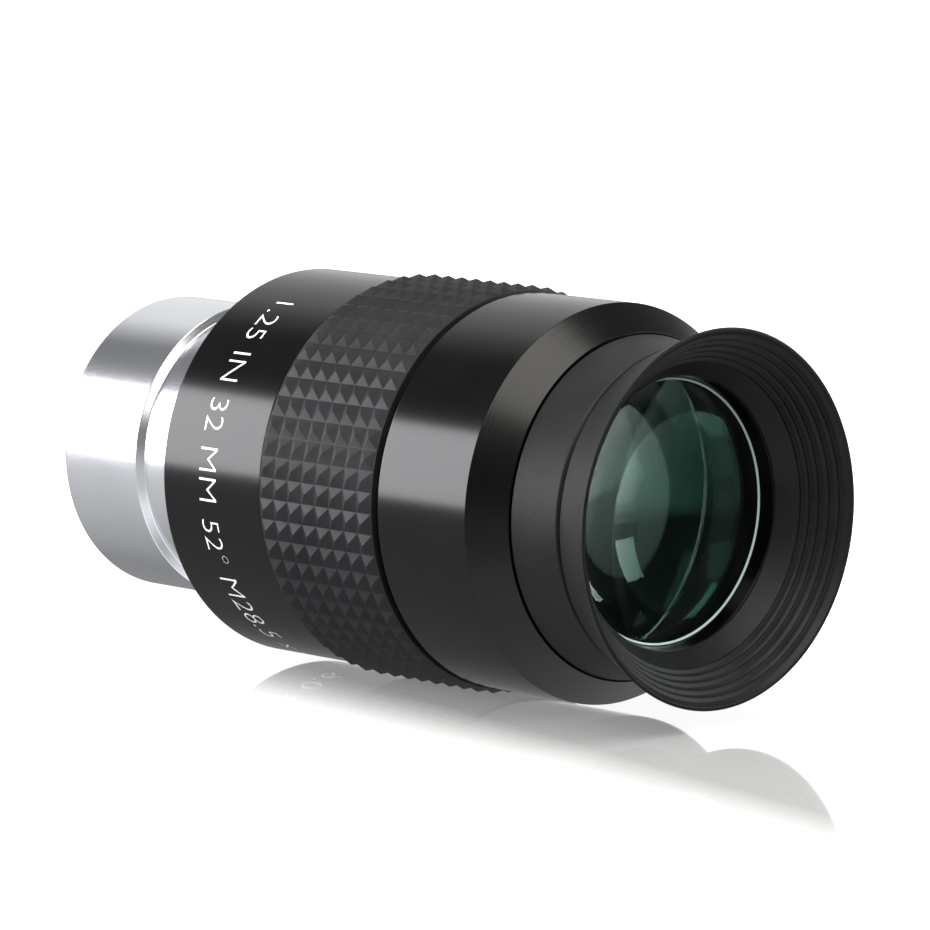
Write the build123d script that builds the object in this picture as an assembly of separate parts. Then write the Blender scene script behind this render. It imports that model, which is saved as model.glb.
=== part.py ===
"""Telescope eyepiece for a 1.25 inch focuser: a four-element design of 32 mm focal length.

The optical axis is X and points at the eye. The origin is where the axis meets the shoulder
that seats on the focuser. +Z is up while the eyepiece lies on its side. All sizes are in mm.
"""
import os
from math import cos, pi, sin, sqrt

from build123d import *

# ---------------------------------------------------------------- driving dimensions
# Nosepiece barrel: 1.25 inch nominal, so that it slides into the focuser
BARREL_R = 15.85
BARREL_END = -22.5
BARREL_LEAD = 0.5
FILTER_THREAD_R = 13.93
FILTER_THREAD_LENGTH = 4.5
FILTER_LEAD = 0.4
BARREL_BORE_R = 14.2
UNDERCUT_R = 15.1
UNDERCUT_START = -10.2
UNDERCUT_BEVEL = 0.6
UNDERCUT_END = -5.3
BARREL_EDGE = 0.15
BARREL_LAND_R = 15.6
SPIGOT_R = 14.95
SPIGOT_LENGTH = 5.6

# Field stop, screwed into the barrel at the focal plane
FIELD_STOP_R = 13.5
FIELD_STOP_X = 3.0
FIELD_STOP_THICKNESS = 1.6

# Housings: black tubes screwed together, with the grip clamped between them
BODY_R = 20.5
BODY_EDGE = 0.2
SHOULDER_RECESS_R = 15.95
SHOULDER_RECESS_DEPTH = 0.4
THREAD_BORE_R = 15.0
THREAD_BORE_LENGTH = 6.2
REAR_END = 15.45
GRIP_SEAT_R = 18.9
CAVITY_R = 16.4
ANTIGLARE_DEPTH = 0.35
ANTIGLARE_PITCH = 1.0
ANTIGLARE_COUNT = 7
JOIN_X = 33.4
JOIN_R = 17.9
JOIN_LENGTH = 4.6
FRONT_EDGE_X = 46.4
FACE_X = 49.8
FACE_R = 17.75
NECK_R = 16.3
NECK_END = 55.5
SNAP_GROOVE = (51.4, 52.8)
SNAP_DEPTH = 0.25

# Baffle pressed into the lower housing
BAFFLE_X = 20.5
BAFFLE_THICKNESS = 1.2
BAFFLE_HOLE_R = 13.8

# Rubber grip: square pyramids in rows round the ring
GRIP_START = 15.5
GRIP_END = 32.7
GRIP_BORDER = 0.1
GRIP_BASE_R = 20.65
GRIP_TIP_R = 21.2
GRIP_ROWS = 60
GRIP_COLUMNS = 8
GRIP_TURN = 0.25

# Lens cell and glass: two cemented doublets, crowns facing each other
CELL_R = 15.3
CELL_START = 31.8
CELL_FLANGE_R = 16.9
CELL_FLANGE_LENGTH = 2.0
LENS_R = 14.15
CELL_BORE_R = 14.2
GROUP_CENTRE = 43.97
CROWN_GAP = 0.4
CROWN_THICKNESS = 8.2
CROWN_INNER_CURVE = 34.0
CEMENT_CURVE = 26.0
FLINT_THICKNESS = 2.0
OUTER_CURVE = 160.0
SPACER_HOLE_R = 13.2
CROWN_INNER = CROWN_GAP / 2
CROWN_OUTER = CROWN_INNER + CROWN_THICKNESS
FLINT_OUTER = CROWN_OUTER + FLINT_THICKNESS

# Retaining rings, screwed into the two ends of the cell
RETAINER_R = 14.8
EYE_RETAINER_HOLE_R = 13.55
EYE_RETAINER_MOUTH_R = 13.85
FIELD_RETAINER_HOLE_R = 13.3
FIELD_RETAINER_INSET = 0.2
SPANNER_SLOT_WIDTH = 1.2
SPANNER_SLOT_DEPTH = 0.8

# Rubber eyecup: snaps over the neck and folds back at the groove
CUP_START = 49.9
CUP_BASE_R = 17.55
CUP_GROOVE_X = 55.85
CUP_GROOVE_R = 16.7
CUP_GROOVE_HALF = 0.35
CUP_GROOVE_DEPTH = 0.55
CUP_BASE_END = 56.1
CUP_FLOOR_X = 55.65
CUP_FLOOR_R = 13.94
CUP_LIP_START = 60.6
CUP_RIM_X = 61.6
CUP_RIM_R = 18.7
CUP_END = 61.83
CUP_END_R = 19.24
CUP_RIB_X = (57.87, 58.59, 59.34, 60.17, 60.95)
CUP_RIB_HEIGHT = 0.25
CUP_RIB_HALF = 0.24


# ---------------------------------------------------------------- helpers
def turned(points):
    """Solid turned about the optical axis from its (x, radius) corners."""
    return revolve(make_face(Polyline(*points, close=True)), axis=Axis.X)


def sag(curve, radius):
    """How far a spherical surface falls back from its vertex at this radius."""
    return curve - sqrt(curve * curve - radius * radius)


def cap_arc(vertex, curve, direction):
    """Arc of a lens surface from the axis to the rim; direction is where the surface bends."""
    half = LENS_R / 2
    return ThreePointArc(
        (vertex, 0),
        (vertex + direction * sag(curve, half), half),
        (vertex + direction * sag(curve, LENS_R), LENS_R),
    )


def lens(front, front_curve, front_bend, back, back_curve, back_bend):
    """One glass element between a front surface (eye side) and a back surface (field side)."""
    front_arc = cap_arc(front, front_curve, front_bend)
    back_arc = cap_arc(back, back_curve, back_bend)
    rim = Line(front_arc @ 1, back_arc @ 1)
    axis_line = Line(back_arc @ 0, front_arc @ 0)
    return revolve(make_face([front_arc, rim, back_arc, axis_line]), axis=Axis.X)


def glass_seat(side, hole_radius):
    """Where a ring with this hole touches the outer glass surface on one side, along the axis."""
    return GROUP_CENTRE + side * (FLINT_OUTER - sag(OUTER_CURVE, hole_radius))


# ---------------------------------------------------------------- nosepiece
def nosepiece_barrel():
    """Plated barrel with a safety undercut, a filter thread and a threaded spigot."""
    return turned([
        (BARREL_END, BARREL_R - BARREL_LEAD),
        (BARREL_END + BARREL_LEAD, BARREL_R),
        (UNDERCUT_START, BARREL_R),
        (UNDERCUT_START + UNDERCUT_BEVEL, UNDERCUT_R),
        (UNDERCUT_END - BARREL_EDGE, UNDERCUT_R),
        (UNDERCUT_END - BARREL_EDGE, BARREL_R - BARREL_EDGE),
        (UNDERCUT_END, BARREL_R),
        (0, BARREL_R),
        (0, BARREL_LAND_R),
        (SHOULDER_RECESS_DEPTH, BARREL_LAND_R),
        (SHOULDER_RECESS_DEPTH, SPIGOT_R),
        (SPIGOT_LENGTH, SPIGOT_R),
        (SPIGOT_LENGTH, BARREL_BORE_R),
        (BARREL_END + FILTER_LEAD + FILTER_THREAD_LENGTH, BARREL_BORE_R),
        (BARREL_END + FILTER_LEAD + FILTER_THREAD_LENGTH, FILTER_THREAD_R),
        (BARREL_END + FILTER_LEAD, FILTER_THREAD_R),
        (BARREL_END, FILTER_THREAD_R + FILTER_LEAD),
    ])


def field_stop_ring():
    """Thin ring with a sharp inner edge that bounds the view."""
    back = FIELD_STOP_X
    front = FIELD_STOP_X + FIELD_STOP_THICKNESS
    return turned([
        (back, BARREL_BORE_R),
        (front, BARREL_BORE_R),
        (front, FIELD_STOP_R),
        (front - 0.2, FIELD_STOP_R),
        (back, FIELD_STOP_R + 0.5),
    ])


# ---------------------------------------------------------------- housings
def antiglare_grooves(start):
    """Corners of the V grooves that darken the inside wall, from the eye end to the field end."""
    corners = []
    for index in reversed(range(ANTIGLARE_COUNT)):
        x = start + index * ANTIGLARE_PITCH
        corners.append((x + ANTIGLARE_PITCH, CAVITY_R))
        corners.append((x + ANTIGLARE_PITCH / 2, CAVITY_R + ANTIGLARE_DEPTH))
    corners.append((start, CAVITY_R))
    return corners


def lower_housing():
    """Tube with the shoulder, the seat of the grip and the male thread of the upper housing."""
    return turned([
        (0, BODY_R - BODY_EDGE),
        (BODY_EDGE, BODY_R),
        (REAR_END - BODY_EDGE, BODY_R),
        (REAR_END, BODY_R - BODY_EDGE),
        (REAR_END, GRIP_SEAT_R),
        (JOIN_X, GRIP_SEAT_R),
        (JOIN_X, JOIN_R),
        (JOIN_X + JOIN_LENGTH, JOIN_R),
        (JOIN_X + JOIN_LENGTH, CAVITY_R),
        (BAFFLE_X + BAFFLE_THICKNESS, CAVITY_R),
        *antiglare_grooves(THREAD_BORE_LENGTH + 2.0),
        (THREAD_BORE_LENGTH, CAVITY_R),
        (THREAD_BORE_LENGTH, THREAD_BORE_R),
        (SHOULDER_RECESS_DEPTH, THREAD_BORE_R),
        (SHOULDER_RECESS_DEPTH, SHOULDER_RECESS_R),
        (0, SHOULDER_RECESS_R),
    ])


def glare_baffle():
    """Blackened ring that catches light reflected off the inside wall."""
    front = BAFFLE_X + BAFFLE_THICKNESS
    return turned([
        (BAFFLE_X, CAVITY_R),
        (front, CAVITY_R),
        (front, BAFFLE_HOLE_R + 0.6),
        (BAFFLE_X + 0.2, BAFFLE_HOLE_R),
        (BAFFLE_X, BAFFLE_HOLE_R),
    ])


def upper_housing():
    """Front tube with the turned chamfer and the neck that carries the eyecup."""
    cell_seat = JOIN_X + JOIN_LENGTH + CELL_FLANGE_LENGTH
    groove_start, groove_end = SNAP_GROOVE
    return turned([
        (JOIN_X, BODY_R - BODY_EDGE),
        (JOIN_X + BODY_EDGE, BODY_R),
        (FRONT_EDGE_X, BODY_R),
        (FACE_X, FACE_R),
        (FACE_X, NECK_R),
        (groove_start, NECK_R),
        (groove_start, NECK_R - SNAP_DEPTH),
        (groove_end, NECK_R - SNAP_DEPTH),
        (groove_end, NECK_R),
        (NECK_END, NECK_R),
        (NECK_END, CELL_R),
        (cell_seat, CELL_R),
        (cell_seat, JOIN_R),
        (JOIN_X, JOIN_R),
    ])


# ---------------------------------------------------------------- grip
def grip_ring():
    """Stretched rubber ring covered in square pyramids, 60 rows of eight."""
    step = 2 * pi / GRIP_ROWS
    first = GRIP_START + GRIP_BORDER
    pitch = (GRIP_END - GRIP_START - 2 * GRIP_BORDER) / GRIP_COLUMNS
    bottom = -pi / 2 + GRIP_TURN * step

    def at(x, turn, radius):
        angle = bottom + turn * step
        return Vector(x, radius * cos(angle), radius * sin(angle))

    def ring_corners(x):
        return [at(x, row, GRIP_BASE_R) for row in range(GRIP_ROWS)]

    faces = [
        Face(Wire.make_polygon(ring_corners(GRIP_START))),
        Face(Wire.make_polygon(ring_corners(GRIP_END))),
    ]
    for row in range(GRIP_ROWS):
        for low, high in ((GRIP_START, first), (GRIP_END - GRIP_BORDER, GRIP_END)):
            border = [
                at(low, row, GRIP_BASE_R),
                at(high, row, GRIP_BASE_R),
                at(high, row + 1, GRIP_BASE_R),
                at(low, row + 1, GRIP_BASE_R),
            ]
            faces.append(Face(Wire.make_polygon(border)))
        for column in range(GRIP_COLUMNS):
            low = first + column * pitch
            corners = [
                at(low, row, GRIP_BASE_R),
                at(low + pitch, row, GRIP_BASE_R),
                at(low + pitch, row + 1, GRIP_BASE_R),
                at(low, row + 1, GRIP_BASE_R),
            ]
            tip = at(low + pitch / 2, row + 0.5, GRIP_TIP_R)
            for start, end in zip(corners, corners[1:] + corners[:1]):
                faces.append(Face(Wire.make_polygon([start, end, tip])))
    block = Solid(Shell(faces))
    bore = Pos((GRIP_START + GRIP_END) / 2, 0, 0) * Rot(0, 90, 0) * Cylinder(GRIP_SEAT_R, 30)
    return block - bore


# ---------------------------------------------------------------- lens cell and glass
def lens_cell():
    """Sleeve that holds the glass; its flange is clamped between the two housings."""
    flange_start = JOIN_X + JOIN_LENGTH
    eye_seat = glass_seat(1, EYE_RETAINER_HOLE_R)
    field_seat = glass_seat(-1, FIELD_RETAINER_HOLE_R)
    return turned([
        (CELL_START, CELL_R),
        (flange_start, CELL_R),
        (flange_start, CELL_FLANGE_R),
        (flange_start + CELL_FLANGE_LENGTH, CELL_FLANGE_R),
        (flange_start + CELL_FLANGE_LENGTH, CELL_R),
        (NECK_END, CELL_R),
        (NECK_END, RETAINER_R),
        (eye_seat, RETAINER_R),
        (eye_seat, CELL_BORE_R),
        (field_seat, CELL_BORE_R),
        (field_seat, RETAINER_R),
        (CELL_START, RETAINER_R),
    ])


def crown(side):
    """Biconvex element; side is +1 towards the eye and -1 towards the field."""
    return lens(
        GROUP_CENTRE + side * CROWN_OUTER, CEMENT_CURVE, -side,
        GROUP_CENTRE + side * CROWN_INNER, CROWN_INNER_CURVE, side,
    )


def flint(side):
    """Element cemented to the crown, hollow towards it and slightly domed outside."""
    return lens(
        GROUP_CENTRE + side * FLINT_OUTER, OUTER_CURVE, -side,
        GROUP_CENTRE + side * CROWN_OUTER, CEMENT_CURVE, -side,
    )


def doublet_spacer():
    """Ring that keeps the two doublets apart; it touches them along its inner edges."""
    reach = CROWN_INNER + sag(CROWN_INNER_CURVE, SPACER_HOLE_R)
    return turned([
        (GROUP_CENTRE - reach, LENS_R),
        (GROUP_CENTRE + reach, LENS_R),
        (GROUP_CENTRE + reach, SPACER_HOLE_R),
        (GROUP_CENTRE - reach, SPACER_HOLE_R),
    ])


def eye_lens_retainer():
    """Black threaded ring in front of the eye lens, opening slightly towards the eye."""
    back = glass_seat(1, EYE_RETAINER_HOLE_R)
    return turned([
        (back, RETAINER_R),
        (NECK_END, RETAINER_R),
        (NECK_END, EYE_RETAINER_MOUTH_R),
        (back, EYE_RETAINER_HOLE_R),
    ])


def field_lens_retainer():
    """Threaded ring that clamps the glass from the field side, with two spanner slots."""
    back = CELL_START + FIELD_RETAINER_INSET
    seat = glass_seat(-1, FIELD_RETAINER_HOLE_R)
    ring = turned([
        (back, RETAINER_R),
        (seat, RETAINER_R),
        (seat, FIELD_RETAINER_HOLE_R),
        (back, FIELD_RETAINER_HOLE_R),
    ])
    slot_bar = Pos(back, 0, 0) * Box(2 * SPANNER_SLOT_DEPTH, 2 * RETAINER_R, SPANNER_SLOT_WIDTH)
    return ring - slot_bar


# ---------------------------------------------------------------- eyecup
def cup_outer(x):
    """Outside radius of the flared part."""
    share = (x - CUP_GROOVE_X) / (CUP_END - CUP_GROOVE_X)
    return CUP_GROOVE_R + share * (CUP_END_R - CUP_GROOVE_R)


def cup_inner(x):
    """Inside radius of the flared part, without the ribs."""
    share = (x - CUP_FLOOR_X) / (CUP_RIM_X - CUP_FLOOR_X)
    return CUP_FLOOR_R + share * (CUP_RIM_R - CUP_FLOOR_R)


def cup_ribs(low, high):
    """Corners of the fine ribs between two stations, from the eye side to the field side."""
    corners = []
    for x in reversed(CUP_RIB_X):
        if low < x < high:
            corners.append((x + CUP_RIB_HALF, cup_inner(x + CUP_RIB_HALF)))
            corners.append((x, cup_inner(x) - CUP_RIB_HEIGHT))
            corners.append((x - CUP_RIB_HALF, cup_inner(x - CUP_RIB_HALF)))
    return corners


def eyecup_base():
    """Part of the rubber cup that grips the neck, with its snap bead and inner floor."""
    groove_start, groove_end = SNAP_GROOVE
    return turned([
        (CUP_START, CUP_BASE_R),
        (CUP_GROOVE_X - CUP_GROOVE_HALF, CUP_GROOVE_R),
        (CUP_GROOVE_X, CUP_GROOVE_R - CUP_GROOVE_DEPTH),
        (CUP_BASE_END, cup_outer(CUP_BASE_END)),
        (CUP_BASE_END, cup_inner(CUP_BASE_END)),
        (CUP_FLOOR_X, CUP_FLOOR_R),
        (NECK_END, CUP_FLOOR_R),
        (NECK_END, NECK_R),
        (groove_end, NECK_R),
        (groove_end, NECK_R - SNAP_DEPTH),
        (groove_start, NECK_R - SNAP_DEPTH),
        (groove_start, NECK_R),
        (CUP_START, NECK_R),
    ])


def eyecup_flare():
    """Part of the rubber cup that rolls over when the cup is folded back."""
    return turned([
        (CUP_BASE_END, cup_outer(CUP_BASE_END)),
        (CUP_LIP_START, cup_outer(CUP_LIP_START)),
        (CUP_LIP_START, cup_inner(CUP_LIP_START)),
        *cup_ribs(CUP_BASE_END, CUP_LIP_START),
        (CUP_BASE_END, cup_inner(CUP_BASE_END)),
    ])


def eyecup_lip():
    """Rim of the rubber cup that meets the face."""
    return turned([
        (CUP_LIP_START, cup_outer(CUP_LIP_START)),
        (CUP_END - 0.15, CUP_END_R),
        (CUP_END, CUP_END_R - 0.12),
        (CUP_END, CUP_RIM_R + 0.12),
        (CUP_RIM_X, CUP_RIM_R),
        *cup_ribs(CUP_LIP_START, CUP_END),
        (CUP_LIP_START, cup_inner(CUP_LIP_START)),
    ])


# ---------------------------------------------------------------- build
PIECES = {
    "nosepiece_barrel": nosepiece_barrel,
    "field_stop_ring": field_stop_ring,
    "lower_housing": lower_housing,
    "glare_baffle": glare_baffle,
    "upper_housing": upper_housing,
    "grip_ring": grip_ring,
    "lens_cell": lens_cell,
    "field_flint_lens": lambda: flint(-1),
    "field_crown_lens": lambda: crown(-1),
    "doublet_spacer": doublet_spacer,
    "eye_crown_lens": lambda: crown(1),
    "eye_flint_lens": lambda: flint(1),
    "field_lens_retainer": field_lens_retainer,
    "eye_lens_retainer": eye_lens_retainer,
    "eyecup_base": eyecup_base,
    "eyecup_flare": eyecup_flare,
    "eyecup_lip": eyecup_lip,
}

os.makedirs("parts", exist_ok=True)
for node, make in PIECES.items():
    export_step(make(), f"parts/{node}.step")
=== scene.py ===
"""The looks of a telescope eyepiece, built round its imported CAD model.

The optical axis is X and points at the eye; the origin is at the shoulder that seats on the
focuser; +Z is up while the eyepiece lies on its grip. Lengths written here are in millimetres
and are turned into metres by MM where a mesh or an object is made.
"""
from math import cos, pi, radians, sin, sqrt

import bmesh
import bpy
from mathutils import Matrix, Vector

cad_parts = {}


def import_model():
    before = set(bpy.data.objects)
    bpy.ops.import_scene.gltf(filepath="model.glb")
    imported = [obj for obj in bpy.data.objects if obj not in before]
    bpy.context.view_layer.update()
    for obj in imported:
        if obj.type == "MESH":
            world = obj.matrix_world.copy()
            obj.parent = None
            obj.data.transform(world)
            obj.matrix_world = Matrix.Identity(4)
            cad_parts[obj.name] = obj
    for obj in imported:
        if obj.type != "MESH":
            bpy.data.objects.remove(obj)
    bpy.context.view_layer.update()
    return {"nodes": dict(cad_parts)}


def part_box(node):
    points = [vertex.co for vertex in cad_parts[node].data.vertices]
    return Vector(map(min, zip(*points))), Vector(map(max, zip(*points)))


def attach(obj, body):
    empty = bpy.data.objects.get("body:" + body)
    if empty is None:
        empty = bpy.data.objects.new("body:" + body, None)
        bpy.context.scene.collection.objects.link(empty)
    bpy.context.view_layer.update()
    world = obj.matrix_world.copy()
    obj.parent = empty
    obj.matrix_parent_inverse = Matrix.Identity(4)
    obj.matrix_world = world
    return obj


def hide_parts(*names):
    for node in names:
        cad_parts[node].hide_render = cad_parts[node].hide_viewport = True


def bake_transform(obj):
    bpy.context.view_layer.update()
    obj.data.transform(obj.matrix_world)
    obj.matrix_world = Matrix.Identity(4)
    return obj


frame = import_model()

MM = 0.001
SEGMENTS = 288
CORNER_STEPS = 3
CORNER_SHARE = 0.4
FLAT_WIDTH = 0.05
FLAT_SHARE = 0.48
SMOOTH_ANGLE = 50


# ---------------------------------------------------------------- sizes from the frame
def span(node):
    """Start and end along the axis and the outer radius of a CAD node, in millimetres."""
    low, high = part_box(node)
    return low.x / MM, high.x / MM, high.y / MM


BARREL_START, SPIGOT_END, BARREL_R = span("nosepiece_barrel")
REAR_START, JOIN_END, BODY_R = span("lower_housing")
FRONT_START, NECK_END, _ = span("upper_housing")
GRIP_START, GRIP_END, _ = span("grip_ring")
CUP_START, FLARE_START, CUP_BASE_R = span("eyecup_base")
LIP_START, CUP_END, CUP_END_R = span("eyecup_lip")
RETAINER_START, _, RETAINER_R = span("eye_lens_retainer")
_, EYE_VERTEX, LENS_R = span("eye_flint_lens")
FIELD_VERTEX, _, _ = span("field_flint_lens")

# ---------------------------------------------------------------- sizes of the details
FILTER_THREAD_R = 13.93
FILTER_THREAD_PITCH = 0.6
FILTER_THREAD_LENGTH = 4.5
FILTER_THREAD_DEPTH = 0.22
BARREL_BORE_R = 14.2
BARREL_LEAD = 0.45
MOUTH_LEAD = 0.4
MOUTH_STEP = 0.1
THREAD_CREST = 0.03
UNDERCUT_START = -10.2
UNDERCUT_END = -5.3
UNDERCUT_R = 15.1
UNDERCUT_BEVEL = 0.6
UNDERCUT_WALL = 0.15
LAND_CHAMFER = 0.12
LAND_CHAMFER_DEPTH = 0.1
SPIGOT_R = 14.95
BARREL_LAND_R = 15.6
SHOULDER_RECESS_R = 15.95
SHOULDER_RECESS_DEPTH = 0.4
THREAD_BORE_R = 15.0
THREAD_BORE_END = 6.2
CAVITY_R = 16.4
GRIP_SEAT_R = 18.9
REAR_END = 15.45
JOIN_R = 17.9
FRONT_EDGE = 46.4
FACE_X = 49.8
FACE_R = 17.75
NECK_R = 16.3
CELL_R = 15.3
CELL_FLANGE_END = 40.0
GRIP_ROWS = 60
GRIP_COLUMNS = 8
GRIP_TURN = 0.25
GRIP_BORDER = 0.1
GRIP_BASE_R = 20.65
GRIP_TIP_R = 21.2
GRIP_BEVEL = 0.06
GRIP_BEVEL_ANGLE = 15
GRIP_SMOOTH_ANGLE = 60
CUP_GROOVE_X = 55.85
CUP_GROOVE_R = 16.7
CUP_GROOVE_HALF = 0.35
CUP_GROOVE_DEPTH = 0.55
CUP_FLOOR_X = 55.65
CUP_FLOOR_R = 13.94
CUP_RIM_X = 61.6
CUP_RIM_R = 18.7
CUP_RIM_SLOPE = 0.04
CUP_RIM_FACE = 0.1
CUP_LIP_LENGTH = 0.2
CUP_FLARE_STEPS = 14
CUP_WALL_STEPS = 6
CUP_RIB_X = (57.87, 58.59, 59.34, 60.17, 60.95)
CUP_RIB_HEIGHT = 0.25
CUP_RIB_HALF = 0.24
RETAINER_HOLE_R = 13.55
RETAINER_MOUTH_R = 13.85
GROUP_CENTRE = (EYE_VERTEX + FIELD_VERTEX) / 2
CROWN_GAP = 0.4
CROWN_INNER_CURVE = 34.0
OUTER_CURVE = 160.0
LENS_BEVEL = 0.25
LENS_RINGS = 40
BEVEL_WIDTH = 0.24
BEVEL_HEIGHT = 0.14
BEVEL_INSET = 0.02
FIELD_HOLE_R = 13.3


# ---------------------------------------------------------------- mesh helpers
def new_object(name, mesh):
    """Links a mesh to the scene under this name."""
    piece = bpy.data.objects.new(name, mesh)
    bpy.context.scene.collection.objects.link(piece)
    return piece


def set_back(corner, other, cut):
    """Where a curve leaves this side of a corner, and a point a little beyond it.

    The second point keeps the shading of the rest of the side flat.
    """
    side = other - corner
    along = side.normalized()
    leaves = min(cut, side.length * CORNER_SHARE)
    flat = min(leaves + FLAT_WIDTH, side.length * FLAT_SHARE)
    return corner + along * leaves, corner + along * flat


def rounded(outline):
    """Points of an outline of (x, radius, cut) corners, each curved over its cut if it has one."""
    points = []
    count = len(outline)
    for index, corner in enumerate(outline):
        here = Vector(corner[:2])
        cut = corner[2] if len(corner) > 2 else 0
        if cut == 0:
            points.append(here)
            continue
        before = Vector(outline[index - 1][:2])
        after = Vector(outline[(index + 1) % count][:2])
        start, flat_before = set_back(here, before, cut)
        end, flat_after = set_back(here, after, cut)
        points.append(flat_before)
        for step in range(CORNER_STEPS + 1):
            t = step / CORNER_STEPS
            points.append(start * (1 - t) ** 2 + here * 2 * t * (1 - t) + end * t * t)
        points.append(flat_after)
    return points


def turned(name, outline):
    """Closed ring or solid of revolution about the X axis from its outline."""
    points = rounded(outline)
    verts = []
    faces = []
    rings = []
    for point in points:
        if point.y < 1e-6:
            rings.append([len(verts)] * SEGMENTS)
            verts.append((point.x * MM, 0, 0))
            continue
        rings.append(range(len(verts), len(verts) + SEGMENTS))
        for segment in range(SEGMENTS):
            angle = 2 * pi * segment / SEGMENTS
            radius = point.y * MM
            verts.append((point.x * MM, radius * cos(angle), radius * sin(angle)))
    for ring, other in zip(rings, rings[1:] + rings[:1]):
        for segment in range(SEGMENTS):
            following = (segment + 1) % SEGMENTS
            corners = [ring[segment], ring[following], other[following], other[segment]]
            face = list(dict.fromkeys(corners))
            if len(face) > 2:
                faces.append(face)
    return finished_mesh(name, verts, faces)


def finished_mesh(name, verts, faces):
    """Mesh object with outward normals, smooth except across sharp edges."""
    mesh = bpy.data.meshes.new(name)
    mesh.from_pydata(verts, [], faces)
    work = bmesh.new()
    work.from_mesh(mesh)
    bmesh.ops.recalc_face_normals(work, faces=work.faces)
    work.to_mesh(mesh)
    work.free()
    mesh.shade_smooth()
    mesh.set_sharp_from_angle(angle=radians(SMOOTH_ANGLE))
    return new_object(name, mesh)


def with_modifiers(piece):
    """Replaces the mesh by what its modifiers make of it."""
    bpy.context.view_layer.update()
    evaluated = piece.evaluated_get(bpy.context.evaluated_depsgraph_get())
    mesh = bpy.data.meshes.new_from_object(evaluated)
    piece.modifiers.clear()
    piece.data = mesh
    return piece


def place(piece, body, nodes, material):
    """Rides a piece on a body, hides the CAD nodes it stands for and gives it its finish."""
    piece.data.materials.clear()
    piece.data.materials.append(material)
    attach(piece, body)
    if nodes:
        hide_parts(*nodes)
    return piece


# ---------------------------------------------------------------- material helpers
class Shader:
    """A material with one Principled BSDF and short calls that add nodes round it."""

    def __init__(self, name, **values):
        """Makes the material and sets plain values on its Principled BSDF."""
        self.material = bpy.data.materials.new(name)
        self.material.use_nodes = True
        self.tree = self.material.node_tree
        self.bsdf = self.tree.nodes["Principled BSDF"]
        for socket, value in values.items():
            self.bsdf.inputs[socket.replace("_", " ")].default_value = value
        coordinates = self.tree.nodes.new("ShaderNodeTexCoord")
        self.point = coordinates.outputs["Object"]
        split = self.node("ShaderNodeSeparateXYZ", Vector=self.point)
        self.axial = split.outputs["X"]

    def node(self, kind, **inputs):
        """Adds a node and fills its inputs with values or with other nodes' outputs."""
        made = self.tree.nodes.new(kind)
        for socket, value in inputs.items():
            self.set(made.inputs[socket.replace("_", " ")], value)
        return made

    def set(self, socket, value):
        """Links an output to a socket, or sets a plain value on it."""
        if isinstance(value, bpy.types.NodeSocket):
            self.tree.links.new(value, socket)
        else:
            socket.default_value = value

    def rings(self, per_mm, detail=2.0):
        """Noise that changes only along the axis, like the marks of a lathe tool."""
        scaled = self.tree.nodes.new("ShaderNodeMath")
        scaled.operation = "MULTIPLY"
        self.set(scaled.inputs[0], self.axial)
        self.set(scaled.inputs[1], per_mm / MM)
        noise = self.tree.nodes.new("ShaderNodeTexNoise")
        noise.noise_dimensions = "1D"
        self.set(noise.inputs["W"], scaled.outputs[0])
        self.set(noise.inputs["Scale"], 1.0)
        self.set(noise.inputs["Detail"], detail)
        return noise.outputs["Fac"]

    def grain(self, per_mm, detail=3.0):
        """Noise in all directions."""
        noise = self.tree.nodes.new("ShaderNodeTexNoise")
        self.set(noise.inputs["Vector"], self.point)
        self.set(noise.inputs["Scale"], per_mm / MM)
        self.set(noise.inputs["Detail"], detail)
        return noise.outputs["Fac"]

    def between(self, factor, low, high, start=0.3, end=0.7):
        """Maps a factor from start..end to low..high."""
        mapped = self.node("ShaderNodeMapRange", Value=factor)
        self.set(mapped.inputs["From Min"], start)
        self.set(mapped.inputs["From Max"], end)
        self.set(mapped.inputs["To Min"], low)
        self.set(mapped.inputs["To Max"], high)
        return mapped.outputs["Result"]

    def paint(self, factor, low, high):
        """Colours the surface between two colours while a factor runs from 0.3 to 0.7."""
        mix = self.tree.nodes.new("ShaderNodeMix")
        mix.data_type = "RGBA"
        self.set(mix.inputs["Factor"], self.between(factor, 0.0, 1.0))
        sockets = [socket for socket in mix.inputs if socket.type == "RGBA"]
        sockets[0].default_value = (*low, 1)
        sockets[1].default_value = (*high, 1)
        colour = [socket for socket in mix.outputs if socket.type == "RGBA"][0]
        self.set(self.bsdf.inputs["Base Color"], colour)

    def bump(self, height, distance, below=None):
        """Adds a bump of this height, in millimetres, over an earlier one."""
        made = self.node("ShaderNodeBump", Height=height, Strength=1.0)
        self.set(made.inputs["Distance"], distance * MM)
        if below is not None:
            self.set(made.inputs["Normal"], below)
        return made.outputs["Normal"]

    def around_axis(self):
        """Tangent that runs round the optical axis, for anisotropic highlights."""
        tangent = self.tree.nodes.new("ShaderNodeTangent")
        tangent.direction_type = "RADIAL"
        tangent.axis = "X"
        self.set(self.bsdf.inputs["Tangent"], tangent.outputs[0])


def plated_metal():
    """Bright plate with fine turning lines and a faint handling haze."""
    shader = Shader("plated_metal", Metallic=1.0, Anisotropic=0.25)
    fine = shader.rings(14)
    coarse = shader.rings(2.2, 1.0)
    haze = shader.grain(0.12)
    shader.paint(haze, (0.69, 0.71, 0.75), (0.74, 0.76, 0.80))
    shader.set(shader.bsdf.inputs["Roughness"], shader.between(fine, 0.16, 0.22))
    lines = shader.bump(fine, 0.0012)
    shader.set(shader.bsdf.inputs["Normal"], shader.bump(coarse, 0.002, below=lines))
    shader.around_axis()
    return shader.material


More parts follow.
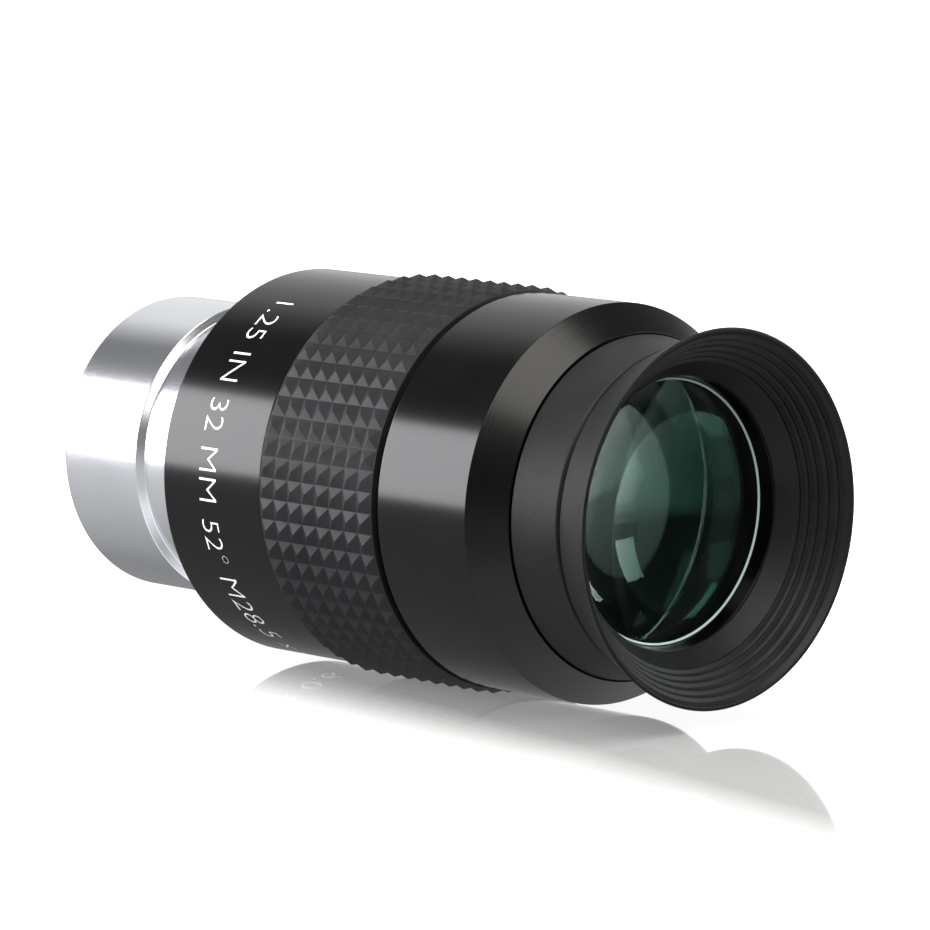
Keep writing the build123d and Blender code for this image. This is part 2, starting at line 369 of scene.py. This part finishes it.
def black_anodised(name, roughness, line_depth, stretch):
    """Glossy black anodised metal with turning lines of the given depth."""
    shader = Shader(name, Anisotropic=stretch, IOR=1.5)
    shader.bsdf.inputs["Specular IOR Level"].default_value = 0.25
    fine = shader.rings(11)
    haze = shader.grain(0.2)
    shader.paint(haze, (0.0010, 0.0010, 0.0012), (0.0020, 0.0020, 0.0022))
    rough = shader.between(fine, roughness * 0.85, roughness * 1.15)
    shader.set(shader.bsdf.inputs["Roughness"], rough)
    shader.set(shader.bsdf.inputs["Normal"], shader.bump(fine, line_depth))
    shader.around_axis()
    return shader.material


def matt_black():
    """Anti-reflection black on the inner metal pieces."""
    shader = Shader("matt_black")
    shader.bsdf.inputs["Specular IOR Level"].default_value = 0.2
    grain = shader.grain(6)
    shader.paint(grain, (0.006, 0.006, 0.006), (0.012, 0.012, 0.012))
    shader.set(shader.bsdf.inputs["Roughness"], shader.between(grain, 0.55, 0.75))
    shader.set(shader.bsdf.inputs["Normal"], shader.bump(grain, 0.01))
    return shader.material


def rubber(name, dark, light, roughness, grain_depth, shine):
    """Moulded rubber with a fine skin grain and slow colour changes."""
    shader = Shader(name)
    shader.bsdf.inputs["Specular IOR Level"].default_value = shine
    skin = shader.grain(9)
    slow = shader.grain(0.25)
    shader.paint(slow, dark, light)
    rough = shader.between(skin, roughness - 0.06, roughness + 0.06)
    shader.set(shader.bsdf.inputs["Roughness"], rough)
    shader.set(shader.bsdf.inputs["Normal"], shader.bump(skin, grain_depth))
    return shader.material


def coated_glass():
    """Optical glass with a green and teal anti-reflection coating."""
    shader = Shader("coated_glass", Roughness=0.0, IOR=1.58)
    shader.bsdf.inputs["Transmission Weight"].default_value = 1.0
    shader.bsdf.inputs["Base Color"].default_value = (0.93, 1.0, 0.97, 1)
    shader.bsdf.inputs["Specular IOR Level"].default_value = 0.25
    shader.bsdf.inputs["Specular Tint"].default_value = (0.06, 0.22, 0.17, 1)
    return shader.material


def ground_edge():
    """Fine-ground bevel round the eye lens, which scatters pale green light."""
    shader = Shader("ground_edge")
    grain = shader.grain(14)
    shader.paint(grain, (0.38, 0.52, 0.46), (0.52, 0.66, 0.60))
    shader.set(shader.bsdf.inputs["Roughness"], shader.between(grain, 0.25, 0.4))
    return shader.material


def legend_ink():
    """White pad-printed ink."""
    shader = Shader("legend_ink")
    grain = shader.grain(8)
    shader.paint(grain, (0.80, 0.80, 0.80), (0.88, 0.88, 0.88))
    shader.set(shader.bsdf.inputs["Roughness"], shader.between(grain, 0.4, 0.5))
    return shader.material


# ---------------------------------------------------------------- nosepiece
def thread_rings(start, end):
    """Outline of the filter thread's crests and roots, from the inner end to the mouth."""
    points = []
    turns = int((end - start) / FILTER_THREAD_PITCH)
    for turn in range(turns):
        x = end - turn * FILTER_THREAD_PITCH
        points.append((x, FILTER_THREAD_R + FILTER_THREAD_DEPTH, THREAD_CREST))
        points.append((x - FILTER_THREAD_PITCH / 2, FILTER_THREAD_R, THREAD_CREST))
    return points


def barrel(material):
    """Plated barrel with its undercut, its filter thread and the spigot inside the housing."""
    mouth = BARREL_START + MOUTH_LEAD
    outline = [
        (BARREL_START, BARREL_R - BARREL_LEAD, 0.12),
        (BARREL_START + BARREL_LEAD, BARREL_R, 0.2),
        (UNDERCUT_START, BARREL_R, 0.06),
        (UNDERCUT_START + UNDERCUT_BEVEL, UNDERCUT_R, 0.08),
        (UNDERCUT_END - UNDERCUT_WALL, UNDERCUT_R, 0.08),
        (UNDERCUT_END - LAND_CHAMFER, BARREL_R - LAND_CHAMFER_DEPTH, 0.05),
        (UNDERCUT_END, BARREL_R, 0.06),
        (0, BARREL_R),
        (0, BARREL_LAND_R),
        (SHOULDER_RECESS_DEPTH, BARREL_LAND_R),
        (SHOULDER_RECESS_DEPTH, SPIGOT_R),
        (SPIGOT_END, SPIGOT_R),
        (SPIGOT_END, BARREL_BORE_R),
        (mouth + FILTER_THREAD_LENGTH, BARREL_BORE_R),
        *thread_rings(mouth, mouth + FILTER_THREAD_LENGTH),
        (mouth, FILTER_THREAD_R + MOUTH_STEP),
        (BARREL_START, FILTER_THREAD_R + MOUTH_LEAD, 0.1),
    ]
    piece = turned("barrel_shell", outline)
    return place(piece, "nosepiece", ["nosepiece_barrel"], material)


# ---------------------------------------------------------------- housings
def rear_housing(material):
    """Black tube that seats on the focuser and carries the legend."""
    outline = [
        (REAR_START, BODY_R, 0.18),
        (REAR_END, BODY_R, 0.22),
        (REAR_END, GRIP_SEAT_R),
        (FRONT_START, GRIP_SEAT_R),
        (FRONT_START, JOIN_R),
        (JOIN_END, JOIN_R),
        (JOIN_END, CAVITY_R),
        (THREAD_BORE_END, CAVITY_R),
        (THREAD_BORE_END, THREAD_BORE_R),
        (SHOULDER_RECESS_DEPTH, THREAD_BORE_R),
        (SHOULDER_RECESS_DEPTH, SHOULDER_RECESS_R),
        (REAR_START, SHOULDER_RECESS_R),
    ]
    piece = turned("rear_housing_shell", outline)
    return place(piece, "housing", ["lower_housing"], material)


def front_housing(material, chamfer_material):
    """Black front tube with its broad chamfer and the neck inside the eyecup."""
    outline = [
        (FRONT_START, BODY_R, 0.18),
        (FRONT_EDGE, BODY_R, 0.05),
        (FACE_X, FACE_R, 0.03),
        (FACE_X, NECK_R),
        (NECK_END, NECK_R),
        (NECK_END, CELL_R),
        (CELL_FLANGE_END, CELL_R),
        (CELL_FLANGE_END, JOIN_R),
        (FRONT_START, JOIN_R),
    ]
    piece = turned("front_housing_shell", outline)
    place(piece, "housing", ["upper_housing"], material)
    piece.data.materials.append(chamfer_material)
    for polygon in piece.data.polygons:
        x = polygon.center.x / MM
        radius = Vector(polygon.center.yz).length / MM
        if FRONT_EDGE < x < FACE_X and radius > FACE_R:
            polygon.material_index = 1
    return piece


# ---------------------------------------------------------------- grip
def grip(material):
    """Rubber ring covered in square pyramids with soft edges."""
    step = 2 * pi / GRIP_ROWS
    pitch = (GRIP_END - GRIP_START - 2 * GRIP_BORDER) / GRIP_COLUMNS
    first = GRIP_START + GRIP_BORDER
    stations = [GRIP_START]
    stations += [first + column * pitch for column in range(GRIP_COLUMNS + 1)]
    stations.append(GRIP_END)
    work = bmesh.new()

    def corner(x, turn, radius):
        """New corner at this place along the axis, this many rows round and this far out."""
        angle = (turn + GRIP_TURN) * step - pi / 2
        return work.verts.new((x * MM, radius * cos(angle) * MM, radius * sin(angle) * MM))

    outer = [[corner(x, row, GRIP_BASE_R) for row in range(GRIP_ROWS)] for x in stations]
    ends = (GRIP_START, GRIP_END)
    inner = [[corner(x, row, GRIP_SEAT_R) for row in range(GRIP_ROWS)] for x in ends]
    for row in range(GRIP_ROWS):
        after = (row + 1) % GRIP_ROWS
        for index, (low, high) in enumerate(zip(outer, outer[1:])):
            cell = [low[row], high[row], high[after], low[after]]
            if index in (0, GRIP_COLUMNS + 1):
                work.faces.new(cell)
                continue
            middle = (stations[index] + stations[index + 1]) / 2
            tip = corner(middle, row + 0.5, GRIP_TIP_R)
            for start, end in zip(cell, cell[1:] + cell[:1]):
                work.faces.new([start, end, tip])
        for rim, ring in ((outer[0], inner[0]), (outer[-1], inner[1])):
            work.faces.new([rim[row], rim[after], ring[after], ring[row]])
        work.faces.new([inner[0][row], inner[0][after], inner[1][after], inner[1][row]])
    bmesh.ops.recalc_face_normals(work, faces=work.faces)
    mesh = bpy.data.meshes.new("grip_shell")
    work.to_mesh(mesh)
    work.free()
    piece = new_object("grip_shell", mesh)
    bevel = piece.modifiers.new("soft_edges", "BEVEL")
    bevel.width = GRIP_BEVEL * MM
    bevel.segments = 2
    bevel.limit_method = "ANGLE"
    bevel.angle_limit = radians(GRIP_BEVEL_ANGLE)
    bevel.use_clamp_overlap = True
    with_modifiers(piece)
    piece.data.shade_smooth()
    piece.data.set_sharp_from_angle(angle=radians(GRIP_SMOOTH_ANGLE))
    return place(piece, "housing", ["grip_ring"], material)


# ---------------------------------------------------------------- eyecup
def cup_inner(x):
    """Inside radius of the flare without its ribs."""
    share = (x - CUP_FLOOR_X) / (CUP_RIM_X - CUP_FLOOR_X)
    return CUP_FLOOR_R + share * (CUP_RIM_R - CUP_FLOOR_R)


def cup_outer(x):
    """Outside radius of the flare."""
    share = (x - CUP_GROOVE_X) / (CUP_END - CUP_GROOVE_X)
    return CUP_GROOVE_R + share * (CUP_END_R - CUP_GROOVE_R)


def cup_inside():
    """Outline of the ribbed inside, from the rim to the floor."""
    points = [(CUP_RIM_X, CUP_RIM_R, 0.1)]
    for x in reversed(CUP_RIB_X):
        points.append((x + CUP_RIB_HALF, cup_inner(x + CUP_RIB_HALF), 0.06))
        points.append((x, cup_inner(x) - CUP_RIB_HEIGHT, 0.08))
        points.append((x - CUP_RIB_HALF, cup_inner(x - CUP_RIB_HALF), 0.06))
    for step in range(1, CUP_WALL_STEPS):
        share = step / CUP_WALL_STEPS
        x = CUP_RIB_X[0] - CUP_RIB_HALF + share * (CUP_FLOOR_X - CUP_RIB_X[0] + CUP_RIB_HALF)
        points.append((x, cup_inner(x)))
    return points


def eyecup(material):
    """Rubber cup in one piece, from the housing to its rim."""
    flare = []
    flare_start = CUP_GROOVE_X + CUP_GROOVE_HALF
    for step in range(1, CUP_FLARE_STEPS):
        share = step / CUP_FLARE_STEPS
        x = flare_start + share * (CUP_END - CUP_LIP_LENGTH - flare_start)
        flare.append((x, cup_outer(x)))
    outline = [
        (CUP_START, CUP_BASE_R, 0.15),
        (CUP_GROOVE_X - CUP_GROOVE_HALF, CUP_GROOVE_R, 0.1),
        (CUP_GROOVE_X, CUP_GROOVE_R - CUP_GROOVE_DEPTH, 0.1),
        (flare_start, cup_outer(flare_start), 0.1),
        *flare,
        (CUP_END - CUP_RIM_SLOPE, CUP_END_R, 0.16),
        (CUP_END, CUP_RIM_R + CUP_RIM_FACE, 0.12),
        *cup_inside(),
        (CUP_FLOOR_X, CUP_FLOOR_R, 0.05),
        (NECK_END, CUP_FLOOR_R),
        (NECK_END, NECK_R),
        (CUP_START, NECK_R),
    ]
    piece = turned("eyecup_rubber", outline)
    piece.data.materials.append(material)
    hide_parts("eyecup_base", "eyecup_flare", "eyecup_lip")
    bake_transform(piece)
    return piece


# ---------------------------------------------------------------- glass
def sag(curve, radius):
    """How far a spherical surface falls back from its vertex at this radius."""
    return curve - sqrt(curve * curve - radius * radius)


def doublet(side, name, nodes, material, edge_material):
    """Cemented pair of lenses, black round its edge.

    The side is +1 for the pair towards the eye and -1 for the pair towards the field.
    """
    outer_vertex = (EYE_VERTEX - FIELD_VERTEX) / 2
    inner_vertex = CROWN_GAP / 2
    edge = LENS_R - LENS_BEVEL
    outline = []
    for ring in range(LENS_RINGS + 1):
        radius = edge * ring / LENS_RINGS
        away = outer_vertex - sag(OUTER_CURVE, radius)
        outline.append((GROUP_CENTRE + side * away, radius))
    away = outer_vertex - sag(OUTER_CURVE, edge) - LENS_BEVEL
    outline.append((GROUP_CENTRE + side * away, LENS_R))
    for ring in range(LENS_RINGS, -1, -1):
        radius = LENS_R * ring / LENS_RINGS
        away = inner_vertex + sag(CROWN_INNER_CURVE, radius)
        outline.append((GROUP_CENTRE + side * away, radius))
    piece = place(turned(name, outline), "housing", nodes, material)
    piece.data.materials.append(edge_material)
    for polygon in piece.data.polygons:
        if Vector(polygon.center.yz).length / MM > LENS_R - LENS_BEVEL:
            polygon.material_index = 1
    return piece


def ground_ring(name, x, radius, side, material):
    """Thin ring for the fine-ground bevel of a lens; side is +1 where it faces the eye."""
    outline = [
        (x, radius, 0.02),
        (x + side * BEVEL_HEIGHT, radius - BEVEL_INSET, 0.02),
        (x, radius - BEVEL_WIDTH, 0.02),
    ]
    return place(turned(name, outline), "housing", [], material)


def retainer(material):
    """Ring that holds the eye lens."""
    outline = [
        (RETAINER_START, RETAINER_R),
        (NECK_END, RETAINER_R),
        (NECK_END, RETAINER_MOUTH_R, 0.08),
        (RETAINER_START, RETAINER_HOLE_R, 0.05),
    ]
    piece = turned("eye_retainer_shell", outline)
    return place(piece, "housing", ["eye_lens_retainer"], material)


# ---------------------------------------------------------------- printed legend
LEGEND_START = 62.0
LEGEND_X = 5.7
LEGEND_HEIGHT = 2.75
LEGEND_GAP = 2.0
LEGEND_WORDS = ("1.25 IN", "32 MM", "52°", "M28.5 x 0.6")
LETTER_THINNING = 0.02
INK_THICKNESS = 0.02
LETTER_SLICE = 0.4


def flat_word(text):
    """Mesh of one printed word lying flat, as tall as the legend, with its width."""
    curve = bpy.data.curves.new(text, "FONT")
    curve.body = text
    curve.size = 1.0
    curve.resolution_u = 6
    curve.offset = -LETTER_THINNING
    source = bpy.data.objects.new(text, curve)
    bpy.context.scene.collection.objects.link(source)
    bpy.context.view_layer.update()
    mesh = bpy.data.meshes.new_from_object(source)
    bpy.data.objects.remove(source)
    left = min(v.co.x for v in mesh.vertices)
    foot = min(v.co.y for v in mesh.vertices)
    corner = Vector((left, foot, 0))
    tall = max(v.co.y for v in mesh.vertices) - foot
    for vertex in mesh.vertices:
        vertex.co = (vertex.co - corner) * (LEGEND_HEIGHT / tall)
    return mesh, max(v.co.x for v in mesh.vertices)


def legend(material):
    """Numbers and units round the rear housing, tops towards the eye, read downwards."""
    radius = BODY_R + INK_THICKNESS
    along = 0.0
    work = bmesh.new()
    for word in LEGEND_WORDS:
        mesh, width = flat_word(word)
        part = bmesh.new()
        part.from_mesh(mesh)
        slices = int(width / LETTER_SLICE)
        for cut in range(1, slices):
            everything = part.verts[:] + part.edges[:] + part.faces[:]
            bmesh.ops.bisect_plane(
                part, geom=everything, plane_co=(width * cut / slices, 0, 0), plane_no=(1, 0, 0)
            )
        for vertex in part.verts:
            angle = radians(LEGEND_START) - (along + vertex.co.x) / radius
            x = LEGEND_X + vertex.co.y
            vertex.co = Vector((x, -radius * cos(angle), radius * sin(angle))) * MM
        part.to_mesh(mesh)
        part.free()
        work.from_mesh(mesh)
        along += width + LEGEND_GAP
    joined = bpy.data.meshes.new("printed_legend")
    work.to_mesh(joined)
    work.free()
    piece = new_object("printed_legend", joined)
    return place(piece, "housing", [], material)


# ---------------------------------------------------------------- studio
CAMERA_AZIMUTH = 47.25
CAMERA_ELEVATION = 7.6
CAMERA_PLACE = (0.47316, -0.41493, 0.08338)
CAMERA_LENS = 229.7
LAMP_TARGET = (0.02, 0, 0)
FLOOR_HALF = 4.0
FLOOR_POLISH = 0.7
FLOOR_GLOW = 0.18
FLOOR_GLOW_AWAY = 0.55
FLOOR_FADE = (-0.028, -0.004)
FLOOR_FADE_BEHIND = (0.02, 0.05)
FLOOR_FADE_TOWARDS = (0.2, 1.0, 0.0)
WALL_LIGHT = 0.95
ROOM_LIGHT = 0.22
NEAR_GROUND_LIGHT = 0.7
FAR_GROUND_LIGHT = 0.3
TABLE_LIGHT = 1.4
DIM_SIDE_LIGHT = 0.10
SKY_FILL = 1.3
GROUND_FILL = 0.35
DIM_SIDE_FILL = 0.35
# Parts of a direction between which each stretch of the room fades in
WALL_Y = (-0.02, 0.28)
WALL_X = (-0.35, -0.6)
WALL_Z = (-0.12, 0.1)
TABLE_Z = (-0.35, -0.55)
TABLE_X = (-0.5, 0.1)
BELOW_Z = (0.05, -0.15)
EYE_SIDE_X = (0.35, 0.65)
EYE_SIDE_Y = (-0.5, -0.2)
FAR_GROUND_Y = (-0.65, 0.2)


def camera():
    """Long lens at the height of the eyepiece, looking at its eye end from the side."""
    data = bpy.data.cameras.new("camera")
    data.lens = CAMERA_LENS
    data.sensor_width = 36
    view = bpy.data.objects.new("camera", data)
    view.location = CAMERA_PLACE
    view.rotation_euler = (radians(90 - CAMERA_ELEVATION), 0, radians(CAMERA_AZIMUTH))
    bpy.context.scene.collection.objects.link(view)
    bpy.context.scene.camera = view


def softbox(name, place_at, size, power, colour, fill):
    """Area light that faces the eyepiece; fill is how strongly it also lights matt surfaces."""
    data = bpy.data.lights.new(name, "AREA")
    data.shape = "RECTANGLE"
    data.size = size[0]
    data.size_y = size[1]
    data.energy = power
    data.color = colour
    data.diffuse_factor = fill
    lamp = bpy.data.objects.new(name, data)
    lamp.location = place_at
    towards = Vector(LAMP_TARGET) - Vector(place_at)
    lamp.rotation_euler = towards.to_track_quat("-Z", "Y").to_euler()
    bpy.context.scene.collection.objects.link(lamp)


def floor():
    """Large pale floor under the grip's lowest tips, polished near the eyepiece.

    Only the camera sees it, so it neither lights the eyepiece nor shows in it.
    """
    low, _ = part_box("grip_ring")
    near_and_far = ((-1, -1), (1, -1), (1, 1), (-1, 1))
    corners = [(x * FLOOR_HALF, y * FLOOR_HALF, low.z) for x, y in near_and_far]
    mesh = bpy.data.meshes.new("floor")
    mesh.from_pydata(corners, [], [(0, 1, 2, 3)])
    shader = Shader("pale_floor", Roughness=0.05)
    shader.bsdf.inputs["Emission Color"].default_value = (1, 1, 1, 1)
    towards = shader.node("ShaderNodeVectorMath")
    towards.operation = "DOT_PRODUCT"
    shader.set(towards.inputs[0], shader.point)
    shader.set(towards.inputs[1], FLOOR_FADE_TOWARDS)
    under = towards.outputs["Value"]
    near = shader.between(under, 0.0, 1.0, *FLOOR_FADE)
    mirror = shader.node("ShaderNodeMath")
    mirror.operation = "MULTIPLY"
    shader.set(mirror.inputs[0], near)
    shader.set(mirror.inputs[1], shader.between(under, 1.0, 0.0, *FLOOR_FADE_BEHIND))
    share = mirror.outputs[0]
    polish = shader.between(share, 0.0, FLOOR_POLISH, 0.0, 1.0)
    shader.set(shader.bsdf.inputs["Metallic"], polish)
    glow = shader.between(share, FLOOR_GLOW_AWAY, FLOOR_GLOW, 0.0, 1.0)
    shader.set(shader.bsdf.inputs["Emission Strength"], glow)
    grain = shader.grain(0.01)
    shader.paint(grain, (0.88, 0.88, 0.88), (0.90, 0.90, 0.90))
    mesh.materials.append(shader.material)
    table = new_object("floor", mesh)
    table.visible_glossy = False
    table.visible_diffuse = False


def world():
    """Room of light round the eyepiece.

    The camera sees it white. Matt surfaces get even light from above, and less from below and
    from the eye side. Shiny ones show a dim room with a bright wall behind the eyepiece, a bright
    table under it, darker ground round that and a dark eye side.
    """
    surroundings = bpy.data.worlds.new("studio")
    bpy.context.scene.world = surroundings
    surroundings.use_nodes = True
    tree = surroundings.node_tree
    tree.nodes.clear()

    def linked(kind, inputs, operation=None):
        """Adds a node and fills its inputs with values or with other nodes' outputs."""
        made = tree.nodes.new(kind)
        if operation:
            made.operation = operation
        for socket, value in inputs.items():
            if isinstance(value, bpy.types.NodeSocket):
                tree.links.new(value, made.inputs[socket])
            else:
                made.inputs[socket].default_value = value
        return made

    def ramp(value, start, end):
        """Factor that climbs from 0 to 1 while the value goes from start to end."""
        inputs = {"Value": value, "From Min": start, "From Max": end}
        return linked("ShaderNodeMapRange", inputs).outputs["Result"]

    def times(first, second):
        """Product of two factors."""
        return linked("ShaderNodeMath", {0: first, 1: second}, "MULTIPLY").outputs[0]

    def mixed(factor, low, high):
        """Value that goes from low to high with the factor."""
        return linked("ShaderNodeMix", {0: factor, 2: low, 3: high}).outputs[0]

    direction = linked("ShaderNodeTexCoord", {}).outputs["Generated"]
    parts = linked("ShaderNodeSeparateXYZ", {0: direction}).outputs
    path = linked("ShaderNodeLightPath", {}).outputs
    wall = times(ramp(parts["Y"], *WALL_Y), ramp(parts["X"], *WALL_X))
    wall = times(wall, ramp(parts["Z"], *WALL_Z))
    table = times(ramp(parts["Z"], *TABLE_Z), ramp(parts["X"], *TABLE_X))
    below = ramp(parts["Z"], *BELOW_Z)
    eye_side = times(ramp(parts["X"], *EYE_SIDE_X), ramp(parts["Y"], *EYE_SIDE_Y))
    ground = mixed(ramp(parts["Y"], *FAR_GROUND_Y), NEAR_GROUND_LIGHT, FAR_GROUND_LIGHT)

    shiny = mixed(below, ROOM_LIGHT, ground)
    shiny = mixed(wall, shiny, WALL_LIGHT)
    shiny = mixed(table, shiny, TABLE_LIGHT)
    shiny = mixed(eye_side, shiny, DIM_SIDE_LIGHT)
    matt = mixed(eye_side, mixed(below, SKY_FILL, GROUND_FILL), DIM_SIDE_FILL)
    strength = mixed(path["Is Diffuse Ray"], shiny, matt)
    seen = mixed(path["Is Camera Ray"], strength, 1.0)
    background = linked("ShaderNodeBackground", {"Color": (1, 1, 1, 1), "Strength": seen})
    linked("ShaderNodeOutputWorld", {"Surface": background.outputs[0]})


# Name, place, width and height, power, colour, and how strongly it also lights matt surfaces
SOFTBOXES = (
    ("key_box", (-0.62, -0.60, 0.195), (0.9, 0.47), 14, (1.0, 0.97, 1.0), 1.0),
    ("top_box", (0.24, -0.22, 0.85), (0.7, 0.9), 12, (1.0, 0.97, 0.9), 0.4),
    ("front_box", (0.72, -0.36, 0.42), (0.35, 0.35), 0.6, (1.0, 1.0, 1.0), 0.3),
    ("lens_box", (0.47, 0.70, 0.27), (0.5, 0.34), 3.0, (0.95, 1.0, 0.98), 1.6),
)


def studio():
    """Camera, floor, surroundings and lamps."""
    camera()
    floor()
    world()
    bpy.context.scene.view_settings.view_transform = "Standard"
    for softbox_values in SOFTBOXES:
        softbox(*softbox_values)


# ---------------------------------------------------------------- make everything
studio()
plate = plated_metal()
black = black_anodised("black_anodised", roughness=0.16, line_depth=0.0008, stretch=0.3)
chamfer_black = black_anodised("turned_chamfer", roughness=0.24, line_depth=0.006, stretch=0.45)
inner_black = matt_black()
glass = coated_glass()

barrel(plate)
rear_housing(black)
front_housing(black, chamfer_black)
grip(rubber(
    "grip_rubber", dark=(0.0065, 0.0072, 0.0085), light=(0.011, 0.012, 0.0138),
    roughness=0.5, grain_depth=0.014, shine=0.18,
))
eyecup(rubber(
    "eyecup_rubber", dark=(0.008, 0.0086, 0.0096), light=(0.012, 0.0127, 0.0138),
    roughness=0.45, grain_depth=0.022, shine=0.18,
))
doublet(1, "eye_doublet_glass", ["eye_flint_lens", "eye_crown_lens"], glass, inner_black)
doublet(-1, "field_doublet_glass", ["field_flint_lens", "field_crown_lens"], glass, inner_black)
bevel_finish = ground_edge()
eye_ring = (RETAINER_START + BEVEL_INSET, RETAINER_HOLE_R - BEVEL_INSET)
field_ring = (FIELD_VERTEX + LENS_BEVEL, FIELD_HOLE_R - BEVEL_INSET)
ground_ring("eye_lens_bevel", *eye_ring, 1, bevel_finish)
ground_ring("field_lens_bevel", *field_ring, -1, bevel_finish)
retainer(black)
legend(legend_ink())

inner_metal = (
    "field_stop_ring", "glare_baffle", "lens_cell", "doublet_spacer", "field_lens_retainer",
)
for node in inner_metal:
    inner = frame["nodes"][node]
    inner.data.materials.clear()
    inner.data.materials.append(inner_black)
